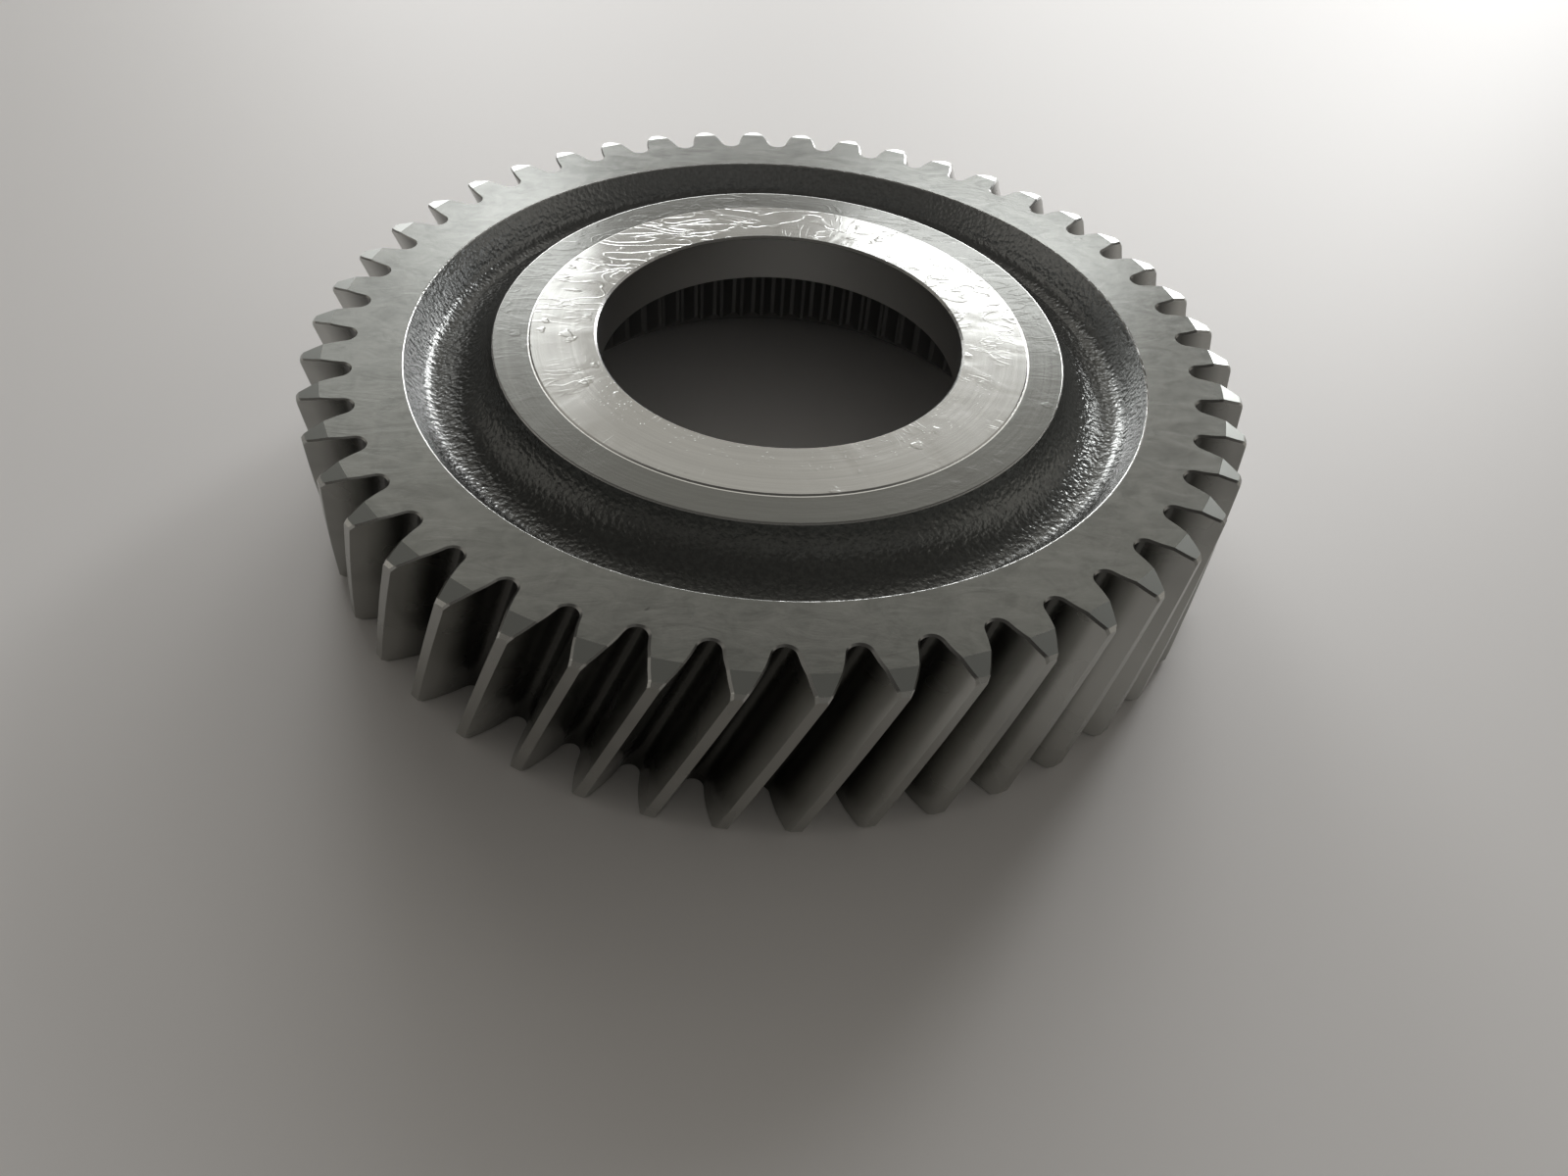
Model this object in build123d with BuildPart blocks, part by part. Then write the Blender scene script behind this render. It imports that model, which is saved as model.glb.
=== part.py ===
from build123d import *
import math
import os

# Helical gear of a heavy vehicle gearbox: one steel forging, machined all over
# except for the annular pocket in each side. Origin on the axis, in the plane
# of the lower rim face, +Z along the axis. All lengths in millimetres.

# ---------------------------------------------------------------- gear teeth
TEETH = 46                      # right-hand helical teeth
FACE_WIDTH = 42.1               # rim, lower face to upper face
TIP_R = 105.3                   # tip circle
ROOT_R = 94.1                   # bottom of the full-radius root
BASE_R = 94.25                  # involute base circle (transverse)
REF_R = 100.36                  # radius at which the tooth thickness is stated
REF_HALF_ANGLE = 1.83           # half tooth thickness at REF_R, degrees
HELIX_DEG_PER_MM = 0.22542      # turn of the section per millimetre of height

# tooth ends
END_CONE_R = REF_R              # the long cone on the tooth ends starts here
END_CONE_OUT_R = 104.6
END_CONE_DROP = 1.19
END_EDGE_DROP = 1.94            # short steep facet down to the tip circle
LOWER_TIP_CHAMFER = 0.9
DEBURR = 0.4                    # chamfer along the tooth outline, upper end

# ---------------------------------------------------------------- upper side
RIM_IN_R = 83.3                 # inner edge of the upper rim face
HUB_R = 64.3                    # outer edge of the hub face
HUB_Z = 43.4                    # outer annulus of the hub face
LAND_R = 56.3                   # ground thrust land, raised
LAND_Z = 43.7
LAND_EDGE = 0.3
POCKET_R = 76.2                 # lowest line of the forged pocket
POCKET_Z = 33.8
POCKET_HUB_DRAFT = 15.0
POCKET_RIM_DRAFT = 27.0
EDGE_ROUND = 0.45               # broken edges beside the pocket

# ---------------------------------------------------------------- bore
BORE_R = 41.5
BORE_TOP_CHAMFER = 0.5
BORE_LOW_CHAMFER = 0.3
LIP_LOW_Z = 31.9                # underside of the bore lip
RELIEF_R = 60.4                 # cutter relief above the internal teeth
RELIEF_LOW_Z = 27.0

# ---------------------------------------------------------------- clutch teeth
CLUTCH_TEETH = 66               # internal teeth, module 1.75
CLUTCH_MODULE = 1.75
CLUTCH_TIP_R = 56.4
CLUTCH_ROOT_R = 59.4
CLUTCH_PRESSURE = 30.0
MOUTH_R = 61.6                  # mouth of the lead-in chamfer
MOUTH_Z = 6.7

# ---------------------------------------------------------------- lower side
LOWER_FACE_OUT_R = 67.5         # machined ring round the mouth
LOWER_RIM_IN_R = 84.2
LOWER_POCKET_Z = 15.5           # floor of the forged pocket
LOWER_POCKET_HUB_DRAFT = 15.0
LOWER_POCKET_RIM_DRAFT = 25.0
LOWER_POCKET_RADIUS = 4.0


def involute(angle):
    return math.tan(angle) - angle


def half_tooth(radius):
    """Half tooth thickness, as an angle at the axis."""
    here = math.acos(min(1.0, BASE_R / radius))
    ref = math.acos(BASE_R / REF_R)
    return math.radians(REF_HALF_ANGLE) + involute(ref) - involute(here)


def polar(radius, angle):
    return (radius * math.cos(angle), radius * math.sin(angle))


def distance_to_flank(centre_r):
    """Shortest way from a point on the gap's centreline to the flank."""
    best, where = 1e9, BASE_R
    steps = 1200
    for i in range(steps):
        r = BASE_R + 0.02 + (TIP_R - BASE_R - 0.02) * i / steps
        gap = math.pi / TEETH - half_tooth(r)
        d = math.hypot(r * math.cos(gap) - centre_r, r * math.sin(gap))
        if d < best:
            best, where = d, r
    return best, where


# full-radius root: the circle that touches the root circle and both flanks
low, high = ROOT_R + 0.5, ROOT_R + 4.0
for _ in range(40):
    mid = (low + high) / 2
    if distance_to_flank(mid)[0] > mid - ROOT_R:
        low = mid
    else:
        high = mid
FORM_R = distance_to_flank(low)[1]

# ------------------------------------------------- toothed body, before facing
with BuildSketch() as tooth_ring:
    with BuildLine():
        for k in range(TEETH):
            # a tooth centre stands on +X at the upper face
            c = 2 * math.pi * k / TEETH - math.radians(HELIX_DEG_PER_MM * FACE_WIDTH)
            radii = [FORM_R + (TIP_R - FORM_R) * i / 7 for i in range(8)]
            rising = [polar(r, c - half_tooth(r)) for r in radii]
            falling = [polar(r, c + half_tooth(r)) for r in reversed(radii)]
            Spline(*rising)
            ThreePointArc(rising[-1], polar(TIP_R, c), falling[0])
            Spline(*falling)
            following = polar(FORM_R, c + 2 * math.pi / TEETH - half_tooth(FORM_R))
            ThreePointArc(falling[-1], polar(ROOT_R, c + math.pi / TEETH), following)
    make_face()

twisted = Solid.extrude_linear_with_rotation(
    tooth_ring.face(),
    center=(0, 0, 0),
    normal=(0, 0, FACE_WIDTH + 4),
    angle=HELIX_DEG_PER_MM * (FACE_WIDTH + 4),
)

# ------------------------------------------------- pocket arcs, upper side


def pocket_arc(run, rise, draft):
    """Radius of the arc that leaves the lowest line level and runs on, at the
    draft angle, into an edge that is run away and rise higher."""
    t = math.tan(draft)
    return (run - rise * t) / (math.cos(draft) - (1 - math.sin(draft)) * t)


hub_draft = math.radians(POCKET_HUB_DRAFT)
rim_draft = math.radians(POCKET_RIM_DRAFT)
POCKET_HUB_RADIUS = pocket_arc(POCKET_R - HUB_R, HUB_Z - POCKET_Z, hub_draft)
POCKET_RIM_RADIUS = pocket_arc(RIM_IN_R - POCKET_R, FACE_WIDTH - POCKET_Z, rim_draft)
in_c = (POCKET_R, POCKET_Z + POCKET_HUB_RADIUS)
out_c = (POCKET_R, POCKET_Z + POCKET_RIM_RADIUS)
print(
    "pocket: hub-side radius",
    round(POCKET_HUB_RADIUS, 2),
    "rim-side radius",
    round(POCKET_RIM_RADIUS, 2),
)

# ------------------------------------------------- pocket corners, lower side
low_hub_corner = (
    LOWER_FACE_OUT_R
    + (LOWER_POCKET_Z - MOUTH_Z) * math.tan(math.radians(LOWER_POCKET_HUB_DRAFT)),
    LOWER_POCKET_Z,
)
low_rim_corner = (
    LOWER_RIM_IN_R - LOWER_POCKET_Z * math.tan(math.radians(LOWER_POCKET_RIM_DRAFT)),
    LOWER_POCKET_Z,
)

with BuildPart() as helical_gear:
    # the turned and forged section, with its rim left long for the teeth
    with BuildSketch(Plane.XZ) as section:
        with BuildLine():
            Polyline(
                (TIP_R - LOWER_TIP_CHAMFER, 0),
                (TIP_R, LOWER_TIP_CHAMFER),
                (TIP_R, FACE_WIDTH - END_EDGE_DROP),
                (END_CONE_OUT_R, FACE_WIDTH - END_CONE_DROP),
                (END_CONE_R, FACE_WIDTH),
                (RIM_IN_R, FACE_WIDTH),
                (
                    out_c[0] + POCKET_RIM_RADIUS * math.cos(rim_draft),
                    out_c[1] - POCKET_RIM_RADIUS * math.sin(rim_draft),
                ),
            )
            CenterArc(out_c, POCKET_RIM_RADIUS, 270, 90 - POCKET_RIM_DRAFT)
            CenterArc(
                in_c,
                POCKET_HUB_RADIUS,
                180 + POCKET_HUB_DRAFT,
                90 - POCKET_HUB_DRAFT,
            )
            Polyline(
                (
                    in_c[0] - POCKET_HUB_RADIUS * math.cos(hub_draft),
                    in_c[1] - POCKET_HUB_RADIUS * math.sin(hub_draft),
                ),
                (HUB_R, HUB_Z),
                (LAND_R, HUB_Z),
                (LAND_R - LAND_EDGE, LAND_Z),
                (BORE_R + BORE_TOP_CHAMFER, LAND_Z),
                (BORE_R, LAND_Z - BORE_TOP_CHAMFER),
                (BORE_R, LIP_LOW_Z + BORE_LOW_CHAMFER),
                (BORE_R + BORE_LOW_CHAMFER, LIP_LOW_Z),
                (RELIEF_R, LIP_LOW_Z),
                (RELIEF_R, RELIEF_LOW_Z),
                (CLUTCH_TIP_R, RELIEF_LOW_Z),
                (CLUTCH_TIP_R, MOUTH_Z + MOUTH_R - CLUTCH_TIP_R),
                (MOUTH_R, MOUTH_Z),
                (LOWER_FACE_OUT_R, MOUTH_Z),
                low_hub_corner,
                low_rim_corner,
                (LOWER_RIM_IN_R, 0),
                (TIP_R - LOWER_TIP_CHAMFER, 0),
            )
        make_face()
        # broken and forged corners: (radius, height, rounding)
        for corner_r, corner_z, rounding in (
            (RIM_IN_R, FACE_WIDTH, EDGE_ROUND),
            (HUB_R, HUB_Z, EDGE_ROUND),
            (RELIEF_R, LIP_LOW_Z, 1.2),
            (RELIEF_R, RELIEF_LOW_Z, 0.6),
            (*low_hub_corner, LOWER_POCKET_RADIUS),
            (*low_rim_corner, LOWER_POCKET_RADIUS),
            (LOWER_FACE_OUT_R, MOUTH_Z, 0.5),
            (LOWER_RIM_IN_R, 0, 0.5),
        ):
            at = section.vertices().sort_by_distance((corner_r, corner_z, 0))[0]
            fillet(at, rounding)
    revolve(axis=Axis.Z)

    # helical gaps between the teeth
    add(twisted, mode=Mode.INTERSECT)

    # internal clutch teeth, cut from below up to the relief
    with BuildSketch(Plane.XY.offset(MOUTH_Z - 1)) as clutch_gaps:
        pitch_r = CLUTCH_MODULE * CLUTCH_TEETH / 2
        quarter = math.pi * CLUTCH_MODULE / 4
        lean = math.tan(math.radians(CLUTCH_PRESSURE))
        inner_half = quarter + (pitch_r - CLUTCH_TIP_R + 0.4) * lean
        outer_half = quarter - (CLUTCH_ROOT_R - pitch_r) * lean
        for k in range(CLUTCH_TEETH):
            c = 2 * math.pi * k / CLUTCH_TEETH

            def gap_point(r, side):
                return (
                    r * math.cos(c) - side * math.sin(c),
                    r * math.sin(c) + side * math.cos(c),
                )

            with BuildLine():
                Polyline(
                    gap_point(CLUTCH_TIP_R - 0.4, -inner_half),
                    gap_point(CLUTCH_ROOT_R, -outer_half),
                    gap_point(CLUTCH_ROOT_R, outer_half),
                    gap_point(CLUTCH_TIP_R - 0.4, inner_half),
                    close=True,
                )
            make_face()
    extrude(amount=RELIEF_LOW_Z - MOUTH_Z + 1.5, mode=Mode.SUBTRACT)

    # deburring chamfer along the tooth outline, upper end
    outline = []
    for edge in helical_gear.edges():
        ends = edge.vertices()
        if len(ends) < 2:
            continue
        (ra, za), (rb, zb) = ((math.hypot(v.X, v.Y), v.Z) for v in ends)
        if min(ra, rb) < ROOT_R - 1 or min(za, zb) < FACE_WIDTH - 2.3:
            continue
        on_face = abs(za - FACE_WIDTH) < 1e-4 and abs(zb - FACE_WIDTH) < 1e-4
        if on_face and abs(ra - END_CONE_R) < 1e-3 and abs(rb - END_CONE_R) < 1e-3:
            continue
        if not on_face and abs(ra - rb) < 0.3:
            continue
        outline.append(edge)
    print("deburred edges", len(outline))
    chamfer(outline, DEBURR)

helical_gear.part.label = "helical_gear"
helical_gear.part.color = Color(0.32, 0.33, 0.33)

print(
    "solids", len(helical_gear.solids()),
    "faces", len(helical_gear.faces()),
    "volume cm3", round(helical_gear.part.volume / 1000, 1),
    "valid", helical_gear.part.is_valid,
)

os.makedirs("parts", exist_ok=True)
export_step(helical_gear.part, "parts/helical_gear.step")
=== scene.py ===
import math

import bpy
from mathutils import Matrix, Vector

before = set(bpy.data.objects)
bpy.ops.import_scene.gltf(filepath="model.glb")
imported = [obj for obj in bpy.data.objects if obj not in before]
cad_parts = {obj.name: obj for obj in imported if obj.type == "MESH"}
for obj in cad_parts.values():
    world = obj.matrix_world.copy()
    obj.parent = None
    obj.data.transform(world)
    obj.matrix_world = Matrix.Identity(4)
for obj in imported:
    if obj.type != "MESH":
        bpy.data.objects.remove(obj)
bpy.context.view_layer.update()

MM = 0.001
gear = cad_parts["helical_gear"]

# ------------------------------------------------------------------ camera
UNIT = 41.5 * MM                # bore radius
EYE = (0.0, -5.63690 * UNIT, 3.77060 * UNIT + 42.9 * MM)
ELEV, YAW, PITCH, ROLL = (math.radians(a) for a in (33.7793, -1.0452, 11.8344, 4.2989))
TURN = math.radians(-2.899)     # tooth phase against the camera


def look():
    centre = Vector((0, -math.cos(ELEV), math.sin(ELEV)))
    forward = -centre
    right = forward.cross(Vector((0, 0, 1))).normalized()
    up = right.cross(forward)
    base = Matrix((right, -up, forward))

    def rx(a):
        return Matrix(((1, 0, 0), (0, math.cos(a), -math.sin(a)), (0, math.sin(a), math.cos(a))))

    def ry(a):
        return Matrix(((math.cos(a), 0, math.sin(a)), (0, 1, 0), (-math.sin(a), 0, math.cos(a))))

    def rz(a):
        return Matrix(((math.cos(a), -math.sin(a), 0), (math.sin(a), math.cos(a), 0), (0, 0, 1)))

    rows = rz(ROLL) @ rx(PITCH) @ ry(YAW) @ base
    m = Matrix((rows[0], -rows[1], -rows[2])).transposed().to_4x4()
    m.translation = Vector(EYE)
    return Matrix.Rotation(TURN, 4, "Z") @ m


cam_data = bpy.data.cameras.new("camera")
cam_data.sensor_width = 36
cam_data.lens = 1233.59 / 1600 * 36
cam_data.clip_start = 0.01
cam_data.clip_end = 50
camera = bpy.data.objects.new("camera", cam_data)
bpy.context.scene.collection.objects.link(camera)
camera.matrix_world = look()
bpy.context.scene.camera = camera


# ------------------------------------------------------------------ node helper
class Tree:
    """Short calls for building a node tree; numbers and sockets mix freely."""

    def __init__(self, tree):
        self.t = tree
        self.n = tree.nodes
        self.n.clear()

    def put(self, socket, value):
        if isinstance(value, bpy.types.NodeSocket):
            self.t.links.new(value, socket)
        elif value is not None:
            socket.default_value = value

    def node(self, kind, **props):
        nd = self.n.new(kind)
        for k, v in props.items():
            setattr(nd, k, v)
        return nd

    def math(self, op, a, b=None, c=None, clamp=False):
        nd = self.node("ShaderNodeMath", operation=op, use_clamp=clamp)
        self.put(nd.inputs[0], a)
        self.put(nd.inputs[1], b)
        self.put(nd.inputs[2], c)
        return nd.outputs[0]

    def add(self, *xs):
        out = xs[0]
        for x in xs[1:]:
            out = self.math("ADD", out, x)
        return out

    def sub(self, a, b):
        return self.math("SUBTRACT", a, b)

    def mul(self, *xs):
        out = xs[0]
        for x in xs[1:]:
            out = self.math("MULTIPLY", out, x)
        return out

    def mx(self, a, b):
        return self.math("MAXIMUM", a, b)

    def mn(self, a, b):
        return self.math("MINIMUM", a, b)

    def inv(self, a):
        return self.math("SUBTRACT", 1.0, a)

    def step(self, x, lo, hi, a=0.0, b=1.0):
        """Smooth ramp of x from lo to hi, giving a to b."""
        nd = self.node("ShaderNodeMapRange", interpolation_type="SMOOTHSTEP", clamp=True)
        self.put(nd.inputs["Value"], x)
        nd.inputs["From Min"].default_value = lo
        nd.inputs["From Max"].default_value = hi
        self.put(nd.inputs["To Min"], a)
        self.put(nd.inputs["To Max"], b)
        return nd.outputs[0]

    def ramp(self, x, lo, hi, a=0.0, b=1.0):
        nd = self.node("ShaderNodeMapRange", interpolation_type="LINEAR", clamp=True)
        self.put(nd.inputs["Value"], x)
        nd.inputs["From Min"].default_value = lo
        nd.inputs["From Max"].default_value = hi
        self.put(nd.inputs["To Min"], a)
        self.put(nd.inputs["To Max"], b)
        return nd.outputs[0]

    def band(self, x, lo, hi, soft):
        """1 between lo and hi, with edges of width soft."""
        return self.mul(self.step(x, lo - soft / 2, lo + soft / 2), self.step(x, hi - soft / 2, hi + soft / 2, 1.0, 0.0))

    def mix(self, f, a, b):
        nd = self.node("ShaderNodeMix", data_type="FLOAT")
        self.put(nd.inputs[0], f)
        self.put(nd.inputs[2], a)
        self.put(nd.inputs[3], b)
        return nd.outputs[0]

    def colour(self, f, a, b, blend="MIX"):
        nd = self.node("ShaderNodeMix", data_type="RGBA", blend_type=blend)
        self.put(nd.inputs[0], f)
        for s, v in ((nd.inputs[6], a), (nd.inputs[7], b)):
            if isinstance(v, (tuple, list)):
                v = (*v, 1.0) if len(v) == 3 else v
            self.put(s, v)
        return nd.outputs[2]

    def vec(self, x, y, z):
        nd = self.node("ShaderNodeCombineXYZ")
        for s, v in zip(nd.inputs, (x, y, z)):
            self.put(s, v)
        return nd.outputs[0]

    def vscale(self, v, s):
        nd = self.node("ShaderNodeVectorMath", operation="MULTIPLY")
        self.put(nd.inputs[0], v)
        nd.inputs[1].default_value = s if isinstance(s, (tuple, list)) else (s, s, s)
        return nd.outputs[0]

    def vadd(self, a, b):
        nd = self.node("ShaderNodeVectorMath", operation="ADD")
        self.put(nd.inputs[0], a)
        self.put(nd.inputs[1], b)
        return nd.outputs[0]

    def noise(self, v, scale, detail=2.0, rough=0.5, dist=0.0, out=0):
        nd = self.node("ShaderNodeTexNoise", noise_dimensions="3D")
        self.put(nd.inputs["Vector"], v)
        nd.inputs["Scale"].default_value = scale
        nd.inputs["Detail"].default_value = detail
        nd.inputs["Roughness"].default_value = rough
        nd.inputs["Distortion"].default_value = dist
        return nd.outputs[out]

    def voronoi(self, v, scale, feature="F1", rnd=1.0, smooth=None):
        nd = self.node("ShaderNodeTexVoronoi", feature=feature)
        self.put(nd.inputs["Vector"], v)
        nd.inputs["Scale"].default_value = scale
        nd.inputs["Randomness"].default_value = rnd
        if smooth is not None:
            nd.inputs["Smoothness"].default_value = smooth
        return nd

    def bump(self, height, dist, strength=1.0, normal=None):
        nd = self.node("ShaderNodeBump")
        nd.inputs["Strength"].default_value = strength
        nd.inputs["Distance"].default_value = dist
        self.put(nd.inputs["Height"], height)
        if normal is not None:
            self.put(nd.inputs["Normal"], normal)
        return nd.outputs[0]


# ------------------------------------------------------------------ gear steel
def gear_steel():
    """One steel forging. Its regions are told apart by radius, height and the way the surface faces."""
    m = bpy.data.materials.new("gear_steel")
    m.use_nodes = True
    t = Tree(m.node_tree)

    pos = t.node("ShaderNodeTexCoord").outputs["Object"]
    p = t.vscale(pos, 1000.0)                         # millimetres
    sep = t.node("ShaderNodeSeparateXYZ")
    t.put(sep.inputs[0], p)
    x, y, z = sep.outputs
    r = t.math("SQRT", t.add(t.mul(x, x), t.mul(y, y)))
    cx, cy = t.math("DIVIDE", x, r), t.math("DIVIDE", y, r)
    geo = t.node("ShaderNodeNewGeometry")
    nsep = t.node("ShaderNodeSeparateXYZ")
    t.put(nsep.inputs[0], geo.outputs["Normal"])
    nz = nsep.outputs[2]

    def polar(k, s, zs=0.0, w=None):
        """Coordinates wrapped round the axis: k cells per radian, s cells per millimetre of radius."""
        h = t.mul(r, s)
        if zs:
            h = t.add(h, t.mul(z, zs))
        if w is not None:
            h = t.add(h, w)
        return t.vec(t.mul(cx, k), t.mul(cy, k), h)

    # ---- regions
    top = t.step(z, 42.95, 43.05)
    outer = t.step(r, 56.25, 56.35)
    land = t.mul(top, t.inv(outer))
    ring = t.mul(top, outer, t.step(r, 64.25, 64.35, 1.0, 0.0))
    up_pocket = t.mul(t.band(r, 64.0, 83.42, 0.05), t.band(z, 33.0, 43.16, 0.12))
    low_pocket = t.mul(t.band(r, 67.9, 84.0, 0.1), t.band(z, 0.2, 16.5, 0.1))
    pocket = t.mx(up_pocket, low_pocket)
    rim = t.mul(t.step(r, 83.2, 83.3), t.step(z, 41.4, 41.7), t.step(nz, 0.975, 0.99))
    teeth = t.mul(t.step(r, 92.5, 93.0), t.band(nz, -0.9, 0.9, 0.05))
    cone = t.mul(t.step(r, 99.0, 99.5), t.band(nz, 0.93, 0.978, 0.01))
    bore = t.mul(t.step(r, 42.3, 42.6, 1.0, 0.0), t.band(z, 31.0, 43.1, 0.1))
    inside = t.mul(t.step(r, 61.7, 61.8, 1.0, 0.0), t.step(z, 31.7, 31.95, 1.0, 0.0))
    hole = t.mx(bore, inside)
    edge_t = t.mul(t.step(r, 93.0, 93.5), t.step(r, 104.2, 104.5, 1.0, 0.0), t.band(nz, 0.45, 0.88, 0.06), t.step(z, 40.0, 40.3))
    edge_g = t.mx(t.mul(t.band(r, 82.7, 83.75, 0.05), t.band(nz, 0.55, 0.965, 0.03), t.step(z, 41.5, 41.6)),
                  t.mul(t.band(r, 63.8, 64.6, 0.05), t.band(nz, 0.35, 0.965, 0.03), t.step(z, 42.8, 42.9)))
    edge_l = t.mx(t.mul(t.band(r, 55.9, 56.4, 0.02), t.band(z, 43.41, 43.69, 0.02)), t.mul(t.step(r, 42.05, 42.1, 1.0, 0.0), t.step(z, 43.1, 43.2)))
    edge = t.mx(edge_t, t.mx(edge_g, edge_l))
    step_highlight = t.mul(t.band(r, 56.28, 56.62, 0.08), t.band(z, 43.3, 43.5, 0.04))     # painted highlight: a near-white glossy line in the step round the land, standing in for the glint of the oil held there

    # ---- shared patterns
    blot = t.noise(p, 0.035, 3, 0.6, 0.4)
    fine = t.noise(p, 1.1, 3, 0.65)
    smear = t.noise(t.vscale(p, (0.085, 0.21, 0.2)), 1.0, 5, 0.62, 1.4)
    turn = t.noise(polar(1.5, 2.6), 1.0, 2, 0.7)      # tool marks round the axis
    warp = t.noise(p, 0.6, 1, 0.5, 0.0, 1)
    mottle = t.noise(p, 0.16, 5, 0.68, 0.6)
    spot = t.voronoi(t.vadd(p, t.vscale(warp, 1.5)), 0.21, "F1")
    spot_c = t.node("ShaderNodeSeparateColor")
    t.put(spot_c.inputs[0], spot.outputs["Color"])
    specks = t.mul(t.step(spot.outputs["Distance"], 0.03, 0.10, 1.0, 0.0), t.step(spot_c.outputs[0], 0.80, 0.84))

    # ---- forged, shot-blasted skin of the pockets
    cells = t.voronoi(t.vadd(p, t.vscale(warp, 1.1)), 0.85, "SMOOTH_F1", 1.0, 0.3).outputs["Distance"]
    grit = t.noise(p, 1.05, 2, 0.55, 0.3)

    # ---- oil on the ground land: soft radial dashes, flat drops, a wavy film, fine beads near the bore
    dash_n = t.noise(polar(17.0, 0.11), 1.0, 1, 0.5, 0.6)
    dashes = t.mul(t.step(t.math("ABSOLUTE", t.sub(dash_n, 0.5)), 0.0, 0.05, 1.0, 0.0), t.step(t.noise(p, 0.11, 1, 0.5), 0.52, 0.66))
    drop_d = t.voronoi(t.vadd(p, t.vscale(warp, 2.4)), 0.19, "F1").outputs["Distance"]
    drops = t.mul(t.step(drop_d, 0.14, 0.30, 1.0, 0.0), t.step(t.noise(p, 0.055, 1, 0.5), 0.48, 0.56))
    wave_n = t.noise(t.vscale(p, (0.055, 0.15, 0.1)), 1.0, 1.5, 0.5, 1.6)
    waves = t.mul(t.step(t.math("ABSOLUTE", t.sub(wave_n, 0.5)), 0.0, 0.035, 1.0, 0.0), t.step(y, -8.0, 14.0))
    tiny_v = t.voronoi(p, 1.25, "F1")
    tiny_c = t.node("ShaderNodeSeparateColor")
    t.put(tiny_c.inputs[0], tiny_v.outputs["Color"])
    tiny = t.mul(t.step(tiny_v.outputs["Distance"], 0.06, 0.26, 1.0, 0.0), t.step(tiny_c.outputs[0], 0.35, 0.45), t.step(t.noise(p, 0.25, 1, 0.5), 0.36, 0.52), t.step(r, 46.5, 53.0, 1.0, 0.0), t.step(y, -6.0, -24.0))
    film = t.noise(polar(5.0, 0.07), 1.0, 1.5, 0.45, 0.8)

    # ---- colour
    c = t.colour(blot, (0.147, 0.153, 0.144), (0.195, 0.203, 0.192))
    face = t.colour(t.step(smear, 0.35, 0.65), (0.198, 0.205, 0.194), (0.23, 0.238, 0.225))
    face = t.colour(t.mul(t.step(mottle, 0.42, 0.66), 0.55), face, (0.262, 0.268, 0.254))
    face = t.colour(t.mul(t.step(mottle, 0.30, 0.46, 1.0, 0.0), 0.5), face, (0.16, 0.166, 0.156))
    c = t.colour(rim, c, t.colour(t.mul(specks, 0.7), face, (0.09, 0.092, 0.086)))
    # painted shade: the teeth are coloured darker towards the roots, standing in for the shade in the tooth gaps,
    # with a random tone on top
    c = t.colour(teeth, c, t.colour(t.mul(t.ramp(r, 95.0, 102.5), t.step(blot, 0.2, 0.6, 0.7, 1.0)), (0.085, 0.085, 0.079), (0.50, 0.50, 0.477)))
    c = t.colour(cone, c, (0.38, 0.392, 0.372))
    c = t.colour(ring, c, t.colour(t.step(turn, 0.3, 0.7), (0.195, 0.20, 0.191), (0.218, 0.224, 0.213)))
    c = t.colour(land, c, t.colour(t.step(turn, 0.25, 0.75), (0.50, 0.507, 0.492), (0.56, 0.568, 0.551)))
    # painted light: the pocket skin is coloured lighter towards the back (+Y) than at the front, as lit and shaded
    # copies of one skin; the grit tone inside each is real
    painted_back_lift = t.step(y, -10.0, 50.0)
    scale = t.step(grit, 0.35, 0.65)
    painted_right_lift = t.step(t.add(x, t.mul(blot, 20.0)), -55.0, 65.0)           # painted light: at the front the skin is lighter towards +X
    c = t.colour(pocket, c, t.colour(painted_back_lift, t.colour(painted_right_lift, t.colour(scale, (0.078, 0.080, 0.077), (0.105, 0.108, 0.103)), t.colour(scale, (0.135, 0.139, 0.134), (0.175, 0.18, 0.172))), t.colour(scale, (0.19, 0.195, 0.193), (0.225, 0.23, 0.228))))
    c = t.colour(hole, c, t.colour(bore, (0.17, 0.17, 0.166), (0.62, 0.62, 0.608)))
    c = t.colour(edge, c, t.colour(edge_t, (0.50, 0.50, 0.485), (0.26, 0.26, 0.25)))
    # painted highlight: near-white line in the step round the land
    c = t.colour(step_highlight, c, (0.88, 0.89, 0.87))

    # ---- roughness
    q = t.ramp(fine, 0.3, 0.7, 0.26, 0.34)
    q = t.mix(rim, q, t.ramp(smear, 0.3, 0.7, 0.155, 0.19))
    q = t.mix(teeth, q, t.ramp(blot, 0.3, 0.7, 0.24, 0.31))
    q = t.mix(ring, q, t.ramp(turn, 0.3, 0.7, 0.14, 0.165))
    q = t.mix(land, q, t.ramp(film, 0.3, 0.7, 0.11, 0.14))
    q = t.mix(pocket, q, t.ramp(fine, 0.3, 0.7, 0.16, 0.21))
    q = t.mix(cone, q, 0.42)
    q = t.mix(hole, q, t.mix(bore, 0.45, 0.28))
    q = t.mix(edge, q, 0.25)
    q = t.mix(step_highlight, q, 0.15)

    # ---- relief, in millimetres
    h = t.mul(pocket, t.add(t.mul(cells, 0.11), t.mul(grit, 0.13)))
    h = t.add(h, t.mul(rim, t.add(t.mul(smear, 0.03), t.mul(fine, 0.006))))
    h = t.add(h, t.mul(ring, t.add(t.mul(turn, 0.004), t.mul(smear, 0.03))))
    oil = t.add(t.mul(dashes, 0.009), t.mul(drops, 0.030), t.mul(waves, 0.022), t.mul(film, 0.10), t.mul(tiny, 0.020))
    h = t.add(h, t.mul(t.mx(land, t.mul(ring, 0.45)), oil))
    normal = t.bump(h, 0.001)

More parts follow.
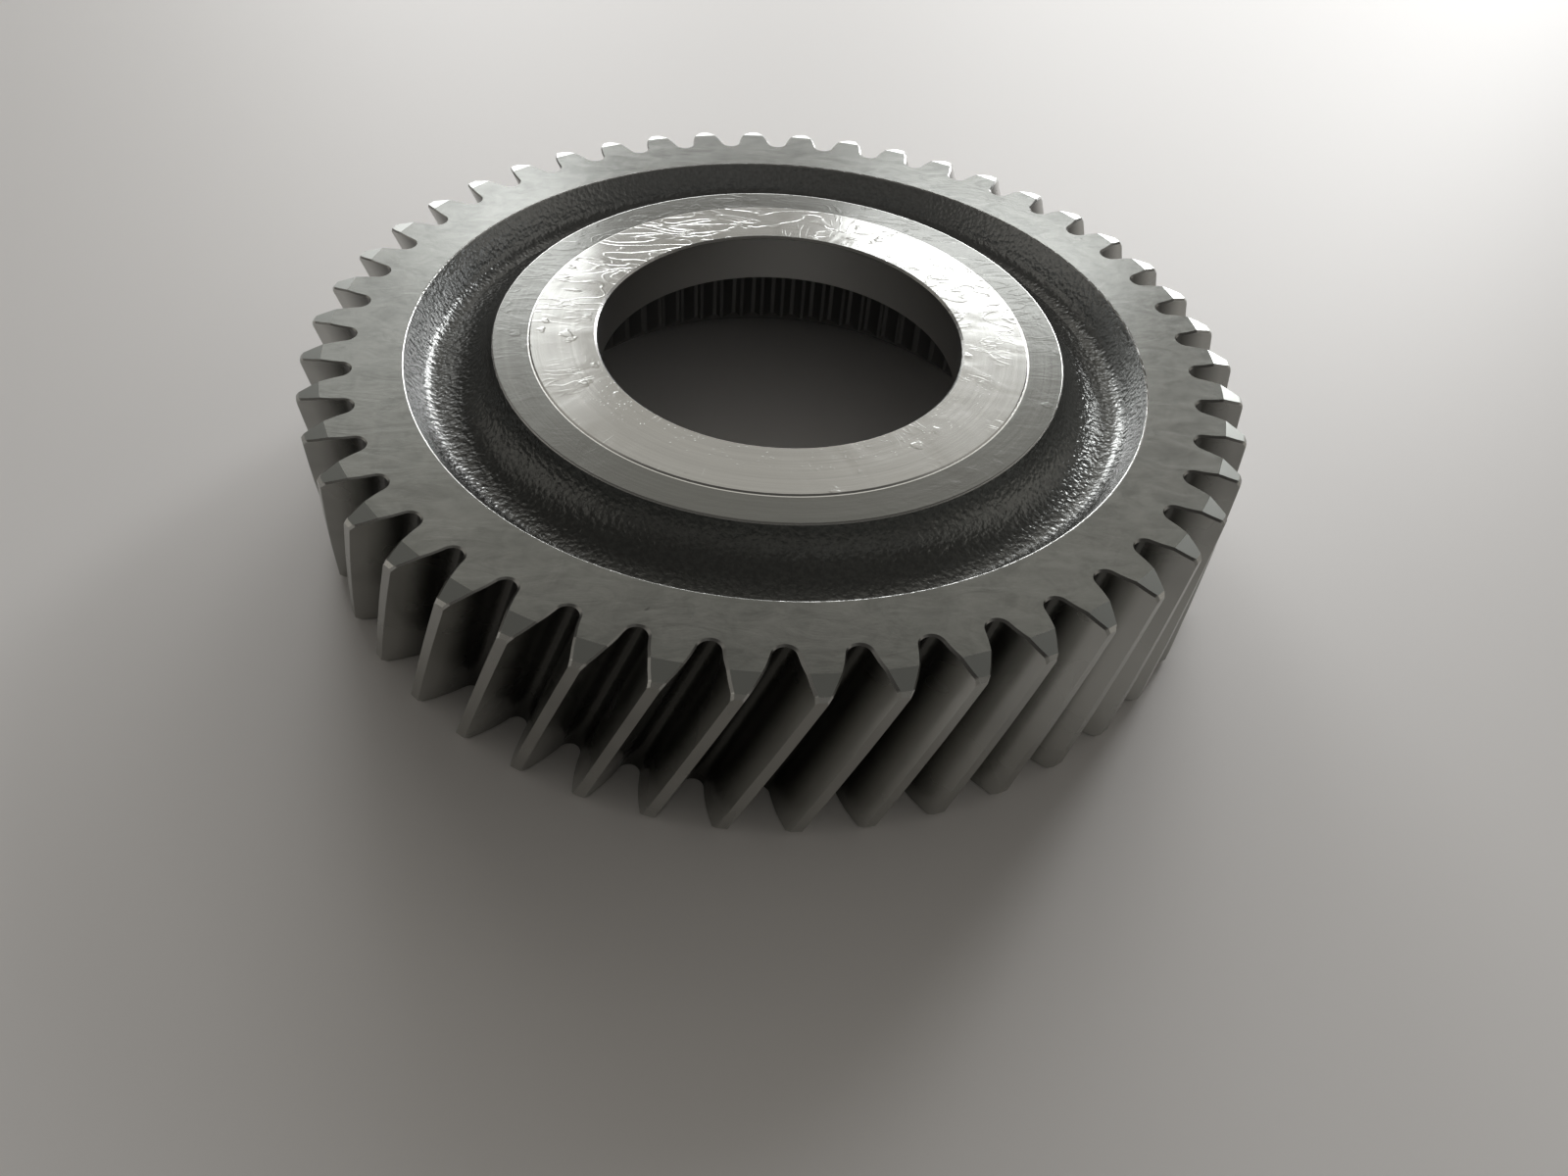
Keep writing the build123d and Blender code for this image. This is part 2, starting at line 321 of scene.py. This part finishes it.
    b = t.node("ShaderNodeBsdfPrincipled")
    t.put(b.inputs["Base Color"], c)
    t.put(b.inputs["Metallic"], t.mix(pocket, t.mix(t.mul(inside, t.inv(bore)), 1.0, 0.6), 0.55))
    t.put(b.inputs["Roughness"], q)
    t.put(b.inputs["Normal"], normal)
    b.inputs["IOR"].default_value = 1.5
    b.inputs["Coat Weight"].default_value = 0.15
    b.inputs["Coat Roughness"].default_value = 0.12
    b.inputs["Coat IOR"].default_value = 1.45
    t.put(b.inputs["Coat Normal"], normal)
    out = t.node("ShaderNodeOutputMaterial")
    t.put(out.inputs["Surface"], b.outputs[0])
    return m


steel = gear_steel()
for slot in gear.material_slots:
    slot.material = steel

# ------------------------------------------------------------------ floor
floor_mesh = bpy.data.meshes.new("floor")
s = 6.0
floor_mesh.from_pydata([(-s, -s, 0), (s, -s, 0), (s, s, 0), (-s, s, 0)], [], [(0, 1, 2, 3)])
floor = bpy.data.objects.new("floor", floor_mesh)
bpy.context.scene.collection.objects.link(floor)
floor.location.z = -0.0002
fm = bpy.data.materials.new("floor")
fm.use_nodes = True
ft = Tree(fm.node_tree)
fb = ft.node("ShaderNodeBsdfPrincipled")
fb.inputs["Base Color"].default_value = (0.90, 0.88, 0.865, 1)
fb.inputs["Metallic"].default_value = 0.12
fb.inputs["Roughness"].default_value = 0.55
fo = ft.node("ShaderNodeOutputMaterial")
ft.put(fo.inputs["Surface"], fb.outputs[0])
floor_mesh.materials.append(fm)


# ------------------------------------------------------------------ light
# A broad soft wall of light low behind the object, brighter in two bands along its head, and a dim room round it.
world = bpy.data.worlds.new("world")
bpy.context.scene.world = world
world.use_nodes = True
wt = Tree(world.node_tree)
ws = wt.node("ShaderNodeSeparateXYZ")
wt.put(ws.inputs[0], wt.node("ShaderNodeTexCoord").outputs["Generated"])
dx, dy, dz = ws.outputs
ct, st = math.cos(TURN), math.sin(TURN)
right = wt.add(wt.mul(dx, ct), wt.mul(dy, st))
away = wt.add(wt.mul(dx, -st), wt.mul(dy, ct))
az = wt.mul(wt.math("ARCTAN2", right, away), 180 / math.pi)
el = wt.mul(wt.math("ARCSINE", dz), 180 / math.pi)
aside = wt.math("ABSOLUTE", wt.add(az, 3.0))
inner_r, inner_l = wt.step(az, 2.2, 4.2), wt.step(az, -11.4, -9.8, 1.0, 0.0)
wall = wt.mul(wt.step(el, 1.0, 4.0), wt.step(el, 26.4, 28.0, 1.0, 0.0), wt.step(az, -40.0, -32.0), wt.step(az, 34.0, 42.0, 1.0, 0.0), wt.step(az, -12.0, -5.0, 1.2, 0.55))
low_top = wt.step(wt.sub(el, wt.step(az, -9.0, -4.0, 2.2, 0.0)), 14.0, 19.5, 1.0, 0.0)
low = wt.mul(wt.step(el, 1.0, 4.0), low_top, wt.step(az, -27.0, -21.0), wt.step(az, 30.0, 35.0, 1.0, 0.0), wt.add(wt.step(az, -9.0, -3.0, 8.5, 7.0), wt.step(az, 2.0, 10.0, 0.0, 6.0)))
jamb = wt.mul(wt.band(az, 26.5, 37.0, 4.0), wt.band(el, 13.0, 27.0, 4.0), 11.5)
head = wt.mul(wt.step(el, 26.8, 28.2), wt.step(el, 30.2, 32.6, 1.0, 0.0))
win_r = wt.mul(inner_r, wt.step(az, 14.0, 20.0, 1.0, 0.0), head, 3.3)
win_l = wt.mul(inner_l, wt.step(az, -22.0, -14.0), head, 2.8)
haze = wt.mul(wt.step(el, 26.8, 28.2), wt.step(el, 32.0, 41.0, 1.0, 0.0), 0.46)
glow = wt.mul(wt.mx(wt.mul(inner_r, wt.step(az, 11.0, 25.0, 0.85, 0.2)), wt.mul(inner_l, wt.step(az, -38.0, -24.0), 1.6)), haze)
windows = wt.add(wall, low, jamb, win_r, win_l, glow)
over = wt.mul(wt.step(aside, 24.0, 42.0, 1.0, 0.0), wt.step(el, 42.0, 56.0, 1.0, 0.15), wt.step(el, 26.0, 37.0, 0.6, 1.0), 0.46)
sides = wt.mul(wt.step(aside, 46.0, 68.0), wt.step(aside, 95.0, 125.0, 1.0, 0.2), wt.step(el, 3.0, 8.0), wt.step(el, 24.0, 46.0, 1.0, 0.0), 0.45)
ceiling = wt.add(over, sides, 0.09)
day = wt.node("ShaderNodeBackground")
wt.put(day.inputs["Strength"], windows)
day.inputs["Color"].default_value = (0.985, 0.995, 1.0, 1)
room = wt.node("ShaderNodeBackground")
wt.put(room.inputs["Strength"], ceiling)
room.inputs["Color"].default_value = (1.0, 0.955, 0.88, 1)
both = wt.node("ShaderNodeAddShader")
wt.put(both.inputs[0], day.outputs[0])
wt.put(both.inputs[1], room.outputs[0])
wo = wt.node("ShaderNodeOutputWorld")
wt.put(wo.inputs["Surface"], both.outputs[0])

bpy.context.scene.view_settings.view_transform = "Standard"
